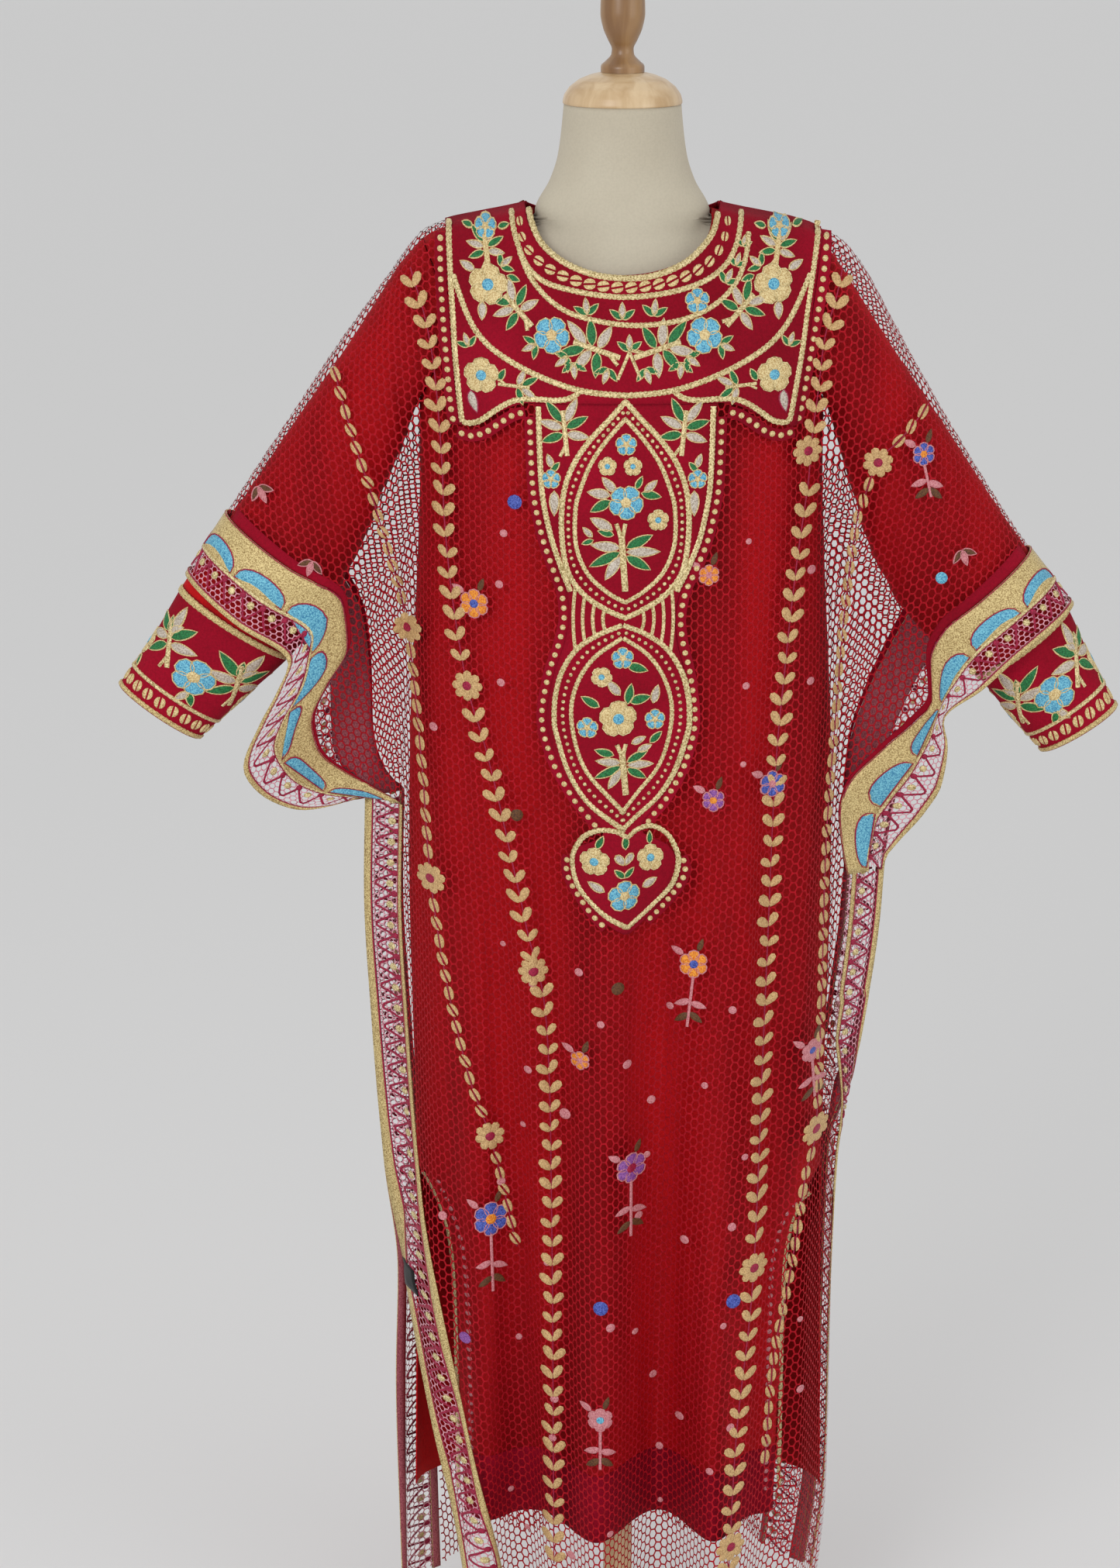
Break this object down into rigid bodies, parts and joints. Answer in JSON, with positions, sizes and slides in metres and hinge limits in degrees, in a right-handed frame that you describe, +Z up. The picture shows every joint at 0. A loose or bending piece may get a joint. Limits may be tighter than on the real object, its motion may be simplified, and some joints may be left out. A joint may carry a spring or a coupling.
{
  "type": "thobe and dress form",
  "caption": "Embroidered sheer net thobe over a tapered-sleeve dress, standing open at neck, cuffs and hem on a limbless dress form with a wooden stand.",
  "frame": {"origin": "middle of the bounding box, on the floor", "axes": "+Z up, -Y towards the front of the dress, +X to the right as seen from the front"},
  "size_m": [0.99, 0.3512, 1.754],
  "materials": {
    "red": "satin cloth",
    "net": "open hexagonal net",
    "maroon": "embroidered cloth",
    "gold": "metallic thread",
    "linen": "stretched linen",
    "beech": "oiled",
    "black": "woven tape"
  },
  "bodies": {
    "root": {"stand_base": "beech", "stand_pole": "beech", "stand_flange": "beech", "form_torso": "linen", "neck_cap": "beech", "finial": "beech", "dress_front": "red", "dress_back": "red", "dress_back_skirt": "red", "dress_sleeve_left": "red", "dress_cuff_left": "maroon", "dress_sleeve_right": "red", "dress_cuff_right": "maroon", "net_front": "net", "net_back": "net", "yoke_front": "maroon", "yoke_back": "maroon", "centre_panel": "maroon", "label_tab": "black", "sleeve_band_front_left": "gold", "sleeve_band_front_right": "gold", "sleeve_band_back_left": "gold", "sleeve_band_back_right": "gold", "side_band_front_left": "gold", "side_band_front_right": "gold", "side_band_back_left": "gold", "side_band_back_right": "gold"}
  },
  "joints": []
}
